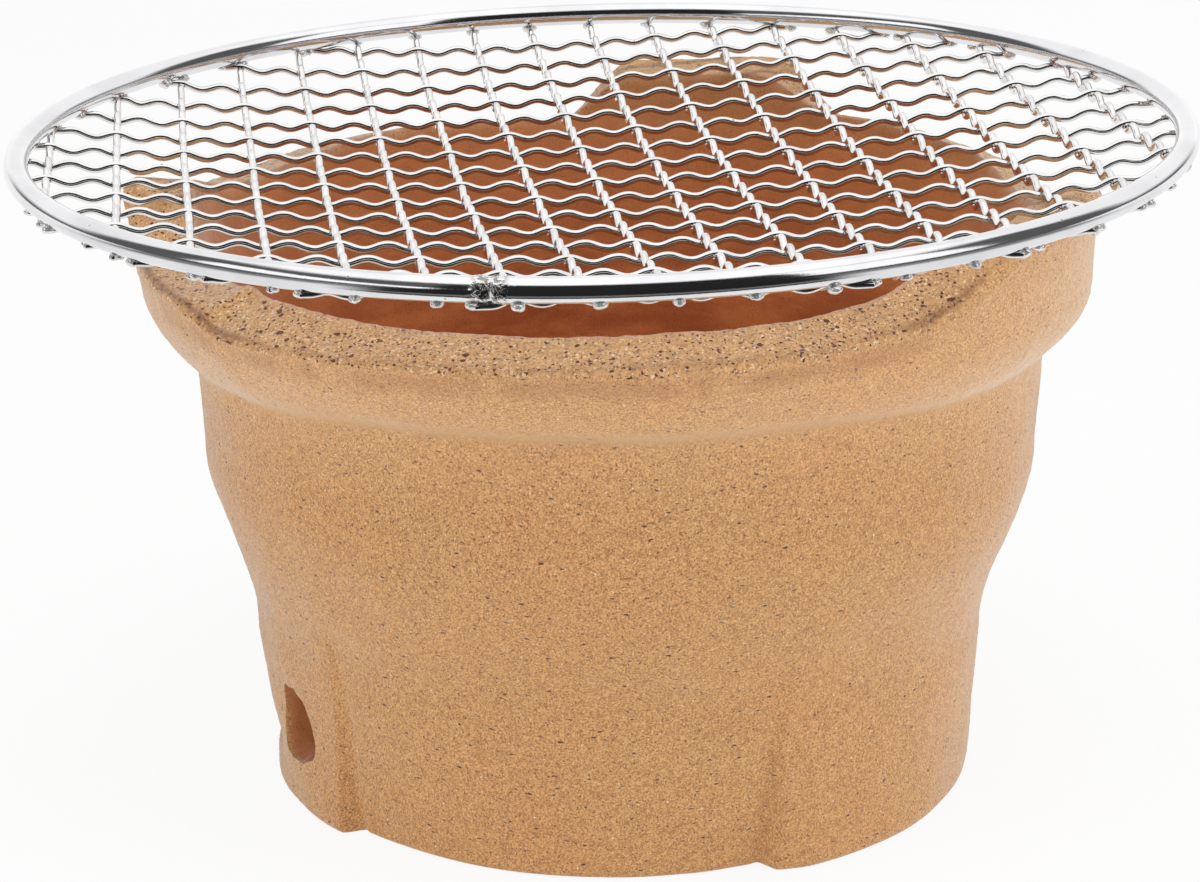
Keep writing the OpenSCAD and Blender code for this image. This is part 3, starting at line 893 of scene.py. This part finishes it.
def clay_material(name):
    """Sandy fired clay: a soft drift of tint, fine grain, torn pits and a few pale stones."""
    material, tree = new_material(name)
    place = tree.place()
    z = tree.xyz(place)["Z"]
    torn_place = tree.warp(place, 0.55, 0.75)
    lying = tree.warp(tree.place((1.0, 1.0, 2.2)), 1.7, 1.4)
    crease, scraped, thickness, inside = (
        tree.attribute(zone) for zone in ("crease", "scraped", "torn", "inside"))

    drift = tree.step(tree.noise(place, 30.0, 2.0, 0.5), 0.34, 0.68)
    light = tree.mix(drift, linear(230, 181, 121), linear(227, 184, 124))
    grain = tree.noise(place, 0.38, 2.0, 0.65)
    mottle = tree.noise(place, 1.3, 2.0, 0.6)
    shade = tree.plus(tree.maths("MULTIPLY_ADD", grain, 1.75, -0.02), tree.times(mottle, 0.35))
    colour = tree.mix(tree.step(shade, 0.72, 1.34), linear(181, 126, 78), light)
    sand = grains(tree, place, 0.95, 0.22, 0.7)
    small = tree.times(grains(tree, torn_place, 0.85, 0.27, 0.8),
                       tree.maths("MULTIPLY_ADD", crease, -0.8, 1.0))
    pits = grains(tree, lying, 4.0, 0.14, 0.8)
    stones = grains(tree, place, 3.3, 0.075, 0.5)
    colour = tree.tint(colour, sand, 0.8, linear(242, 212, 170))
    colour = tree.tint(colour, small, 0.8, linear(122, 72, 36))
    colour = tree.tint(colour, pits, 0.9, linear(98, 46, 12))
    colour = tree.tint(colour, stones, 0.9, linear(244, 232, 212))
    height = tree.plus(tree.plus(grain, tree.times(small, -0.7)), tree.times(pits, -2.0))

    # The clay is painted a little paler towards the rim, as painted light on the collar
    paler = tree.step(z, 0.076, 0.096)
    colour = tree.scale(colour, tree.maths("MULTIPLY_ADD", paler, 0.07, 1.0))
    colour = tree.tint(colour, paler, 0.12, linear(234, 205, 166))

    # The crease is rubbed smooth and carries a painted highlight along it, and the collar blushes just
    # below the scraped rim
    colour = tree.tint(colour, crease, 0.75, linear(210, 171, 126))
    blush = tree.times(tree.attribute("blush"), tree.step(tree.noise(place, 7.0), 0.30, 0.60))
    colour = tree.tint(colour, blush, 0.45, linear(188, 134, 90))

    # The scraped rim is torn into clustered pits, with pale grains beside them that are painted
    # highlights on the pits' lit lips
    clusters = tree.times(tree.step(tree.noise(place, 3.6), 0.28, 0.52), thickness)
    clusters = tree.times(clusters, scraped)
    torn = tree.maths("MAXIMUM", grains(tree, torn_place, 1.15, 0.34, 0.5),
                      grains(tree, lying, 3.0, 0.25, 0.55))
    torn = tree.maths("MAXIMUM", torn, grains(tree, torn_place, 0.72, 0.30, 0.5))
    torn = tree.step(tree.times(torn, clusters), 0.12, 0.36)
    # Painted highlights: pale copies of the pits, shifted a little to one side
    shifted = tree.warp(tree.place(shift=(0.25, 0.2, -0.35)), 0.55, 0.75)
    pale = tree.maths("MAXIMUM", grains(tree, shifted, 1.15, 0.34, 0.8),
                      grains(tree, shifted, 0.72, 0.30, 0.7))
    pale = tree.step(tree.times(pale, clusters), 0.20, 0.55)
    white = tree.times(grains(tree, lying, 7.0, 0.10, 0.35), scraped)
    dark = tree.times(scraped, tree.step(thickness, 0.95, 1.45))
    base = tree.mix(tree.step(tree.noise(place, 0.9, 2.0, 0.7), 0.38, 0.62),
                    linear(186, 134, 84), linear(236, 190, 136))
    colour = tree.tint(colour, scraped, 0.45, base)
    colour = tree.tint(colour, dark, 0.12, linear(158, 106, 60))
    # Painted highlights beside the pits
    colour = tree.tint(colour, pale, 0.95, linear(244, 214, 174))
    colour = tree.mix(torn, colour, linear(106, 50, 12))
    # Painted shade darkens the scraped rim's rounded outer edge
    colour = tree.tint(colour, tree.attribute("arris_shade"), 0.7, linear(132, 80, 36))
    colour = tree.tint(colour, white, 0.85, linear(232, 222, 208))
    # Painted highlight along the rim's rounded inner edge
    colour = tree.tint(colour, tree.attribute("edge"), 0.8, linear(212, 166, 134))
    height = tree.plus(height, tree.times(torn, -3.0))

    # The bowl's inside is redder and smoother, with soft streaks, and paler towards its mouth
    streaks = tree.step(tree.noise(tree.place((1.0, 1.0, 3.2)), 20.0, 3.0, 0.6), 0.36, 0.68)
    red = tree.mix(streaks, linear(188, 102, 50), linear(220, 136, 72))
    red = tree.tint(red, tree.step(z, 0.070, 0.112), 0.7, linear(206, 132, 74))
    red = tree.mix(tree.step(z, 0.040, 0.030), red, linear(198, 130, 82))
    red = tree.tint(red, tree.step(z, 0.109, 0.127), 0.9, linear(214, 160, 106))
    red = tree.scale(red, tree.maths("MULTIPLY_ADD", grain, 0.6, 0.7))
    red = tree.tint(red, small, 0.3, linear(112, 60, 34))
    colour = tree.mix(inside, colour, red)
    height = tree.times(height, tree.maths("MULTIPLY_ADD", inside, -0.45, 1.0))

    finish_material(tree, colour, tree.ramp(grain, 0.3, 0.7, 0.76, 0.64), height, 0.10,
                    {"Specular IOR Level": 0.6, "Sheen Weight": 0.62, "Sheen Roughness": 0.35,
                     "Diffuse Roughness": 0.6})
    return material


def grate_material(name):
    """Coarser red-brown clay with dark and pale grains."""
    material, tree = new_material(name)
    place = tree.place()
    tint = tree.step(tree.noise(place, 18.0, 3.0, 0.6), 0.34, 0.68)
    grain = tree.noise(place, 0.9, 3.0, 0.7)
    colour = tree.mix(tint, linear(156, 92, 56), linear(184, 118, 76))
    colour = tree.mix(0.25, colour, tree.mix(tree.step(grain, 0.3, 0.7),
                                             linear(112, 62, 38), linear(214, 152, 108)))
    dark = grains(tree, place, 3.6, 0.16, 0.4)
    pale = grains(tree, tree.place((1.02, 0.98, 1.01)), 2.8, 0.16, 0.3)
    colour = tree.tint(colour, dark, 0.7, linear(84, 48, 30))
    colour = tree.tint(colour, pale, 0.5, linear(226, 176, 134))
    height = tree.plus(grain, tree.times(dark, -1.2))
    finish_material(tree, colour, tree.ramp(grain, 0.3, 0.7, 0.95, 0.82), height, 0.2,
                    {"Specular IOR Level": 0.3})
    return material


def steel_material(name, base, rough, length, weld=False, metallic=1.0):
    """Polished steel with fine drawing marks, handling spots and, at a weld, a rough grey zone."""
    material, tree = new_material(name)
    place = tree.place()
    cloud = tree.noise(place, length, 3.0, 0.6)
    fine = tree.noise(tree.place((1.0, 1.0, 2.4)), 0.5, 2.0, 0.6)
    dull = tuple(0.88 * c for c in base[:3]) + (1.0,)
    colour = tree.mix(tree.step(cloud, 0.35, 0.7), base, dull)
    spots = grains(tree, place, 4.2, 0.07, 0.3)
    colour = tree.tint(colour, spots, 0.6, linear(96, 92, 90))
    roughness = tree.plus(tree.ramp(cloud, 0.3, 0.7, rough, rough * 1.7), tree.times(fine, 0.03))
    height = tree.plus(tree.times(fine, 0.4), tree.times(spots, -1.0))
    if weld:
        zone = tree.step(tree.attribute("weld"), 0.12, 0.55)
        speckle = tree.step(tree.noise(place, 1.1, 2.0, 0.6), 0.42, 0.56)
        grey = tree.mix(speckle, linear(120, 116, 112), linear(232, 230, 226))
        colour = tree.tint(colour, zone, 0.8, grey)
        roughness = tree.maths("MULTIPLY_ADD", zone, 0.16, roughness)
        height = tree.maths("MULTIPLY_ADD", tree.times(zone, speckle), 6.0, height)
    finish_material(tree, colour, roughness, height, 0.012, {"Metallic": metallic})
    return material


# ======== stage

WHITE = (1.0, 1.0, 1.0, 1.0)
# Levels of the studio that the steel shows: the room, the backdrop behind the object, the sides,
# the dark in front, and the softboxes
ROOM = 0.11
BACKDROP = 1.1
SIDES = 1.05
DARK = 0.02
SOFTBOX = 1.25
# The even level that lights the clay
EVEN = 0.42
# The share of plain white in the floor that the camera sees, and the floor's corners in metres
FLOOR_WHITE = 0.9
FLOOR_CORNERS = [(-8, -8, 0), (8, -8, 0), (8, 8, 0), (-8, 8, 0)]


def studio():
    """A white studio, even for the clay, with lamps and a dark room in front for the steel to show."""
    world = bpy.data.worlds.new("studio")
    bpy.context.scene.world = world
    tree = Tree(world)
    seen = tree.add("ShaderNodeLightPath", out="Is Camera Ray")
    glossy = tree.add("ShaderNodeLightPath", out="Is Glossy Ray")
    x, y, z = tree.xyz(tree.add("ShaderNodeTexCoord", out=0))
    # Azimuth and height of a direction in degrees
    az = tree.times(tree.maths("ARCTAN2", x, tree.times(y, -1.0)), 180.0 / math.pi)
    height = tree.times(tree.maths("ARCSINE", z), 180.0 / math.pi)
    away = tree.maths("ABSOLUTE", az)
    level = tree.blend(tree.step(away, 135.0, 155.0), ROOM, BACKDROP)
    sides = tree.times(tree.step(away, 106.0, 118.0), tree.step(height, 2.0, 14.0))
    level = tree.blend(sides, level, SIDES)
    level = tree.blend(tree.window(az, -30.0, 38.0, 5.0), level, DARK)
    # The left softbox's lower and upper edge climb away from the front
    low = tree.ramp(az, -33.0, -72.0, 5.0, 12.0)
    top = tree.ramp(az, -33.0, -72.0, 15.0, 33.0)
    left = tree.times(tree.step(tree.maths("SUBTRACT", height, low), -1.5, 1.5),
                      tree.step(tree.maths("SUBTRACT", height, top), 1.5, -1.5))
    left = tree.times(left, tree.window(az, -80.0, -33.0, 4.0))
    right = tree.times(tree.window(az, 40.0, 73.0, 4.0), tree.window(height, 12.0, 50.0, 3.0))
    level = tree.blend(tree.maths("MAXIMUM", left, right), level, SOFTBOX)
    level = tree.blend(tree.step(height, 45.0, 60.0), level, SOFTBOX)
    level = tree.blend(glossy, EVEN, level)
    level = tree.blend(seen, level, 1.0)
    shader = tree.add("ShaderNodeBackground", {"Color": WHITE, "Strength": level})
    tree.add("ShaderNodeOutputWorld", {"Surface": shader})


def lamp(name, place, target, size, power):
    """A soft rectangular lamp, in metres and watts, that the steel doesn't show."""
    data = bpy.data.lights.new(name, "AREA")
    data.shape = "RECTANGLE"
    data.size, data.size_y = size
    data.energy = power
    made = new_object(name, data)
    made.location = place
    made.rotation_euler = (Vector(target) - Vector(place)).to_track_quat("-Z", "Y").to_euler()
    made.visible_glossy = False


def floor():
    """A pale floor that keeps the object's shadow."""
    mesh = bpy.data.meshes.new("floor")
    mesh.from_pydata(FLOOR_CORNERS, [], [(0, 1, 2, 3)])
    made = new_object("floor", mesh)
    material, tree = new_material("floor")
    seen = tree.add("ShaderNodeLightPath", out="Is Camera Ray")
    glossy = tree.add("ShaderNodeLightPath", out="Is Glossy Ray")
    # What the steel shows of the floor: white near the foot, grey far off, a dark room in front
    where = tree.add("ShaderNodeNewGeometry", out="Position")
    x, y, _ = tree.xyz(where)
    far = tree.add("ShaderNodeVectorMath", {0: where}, out="Value", operation="LENGTH")
    level = tree.blend(tree.step(far, 0.33, 0.80), 0.95, tree.blend(tree.step(y, 0.0, 0.3), 0.25, 1.0))
    strip = tree.window(y, -0.27, -0.218, 0.012)
    front = tree.maths("ARCTAN2", tree.maths("ABSOLUTE", x), tree.times(y, -1.0))
    front = tree.times(tree.step(y, -0.172, -0.185), tree.step(front, 0.80, 0.60))
    level = tree.blend(front, level, tree.blend(strip, DARK, 0.18))
    diffuse = tree.add("ShaderNodeBsdfDiffuse", {"Color": (0.92, 0.92, 0.92, 1.0)})
    glow = tree.add("ShaderNodeEmission", {"Color": WHITE, "Strength": tree.blend(glossy, 1.0, level)})
    share = tree.maths("MAXIMUM", tree.times(seen, FLOOR_WHITE), glossy)
    tree.add("ShaderNodeOutputMaterial",
             {"Surface": tree.add("ShaderNodeMixShader", {0: share, 1: diffuse, 2: glow})})
    mesh.materials.append(material)


def camera():
    """The photograph's viewing angle and frame."""
    data = bpy.data.cameras.new("camera")
    data.lens = CAMERA_LENS
    data.sensor_width = CAMERA_SENSOR
    made = new_object("camera", data)
    made.location = [v * MM for v in CAMERA_PLACE]
    made.rotation_euler = (math.radians(CAMERA_TILT), 0.0, math.radians(CAMERA_TURN))
    bpy.context.scene.camera = made


def dress(piece, material, body, slot, *nodes):
    """Gives a piece its material and body, and hides the CAD nodes that it stands for; the slot is not
    used.
    """
    piece.data.materials.clear()
    piece.data.materials.append(material)
    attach(piece, body)
    if nodes:
        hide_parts(*nodes)


bpy.context.scene.view_settings.view_transform = "Standard"
camera()
studio()
floor()
lamp("lamp_top", (0.0, -0.25, 1.5), (0, 0, 0.08), (1.2, 1.0), 8.0)
lamp("lamp_left", (-1.2, -0.5, 0.6), (0, 0, 0.06), (0.7, 1.0), 4.2)
lamp("lamp_right", (1.2, -0.4, 0.6), (0, 0, 0.06), (0.7, 1.0), 4.8)
lamp("lamp_front", (0.1, -1.5, 0.25), (0, 0, 0.09), (1.4, 0.35), 4.8)
lamp("lamp_edge", (1.1, 0.9, 0.5), (0, 0, 0.06), (0.6, 1.0), 4.5)

dress(clay_body(), clay_material("body_clay"), "brazier", "body_clay", "brazier_body")
dress(fire_grate(), grate_material("grate_clay"), "grate", "grate_clay", "fire_grate")

ring_steel = steel_material("ring_steel", linear(234, 234, 236), 0.07, 22.0, weld=True)
wire_steel = steel_material("wire_steel", linear(233, 232, 231), 0.035, 9.0)
weld_steel = steel_material("weld_steel", linear(240, 239, 237), 0.18, 2.0, metallic=0.75)
dress(net_ring(), ring_steel, "net", "ring_steel", "net_ring")
wires, wire_ends = net_wires()
for piece, node in wires:
    dress(piece, wire_steel, "net", "wire_steel", node)
dress(weld_beads(wire_ends), weld_steel, "net", "ring_steel")
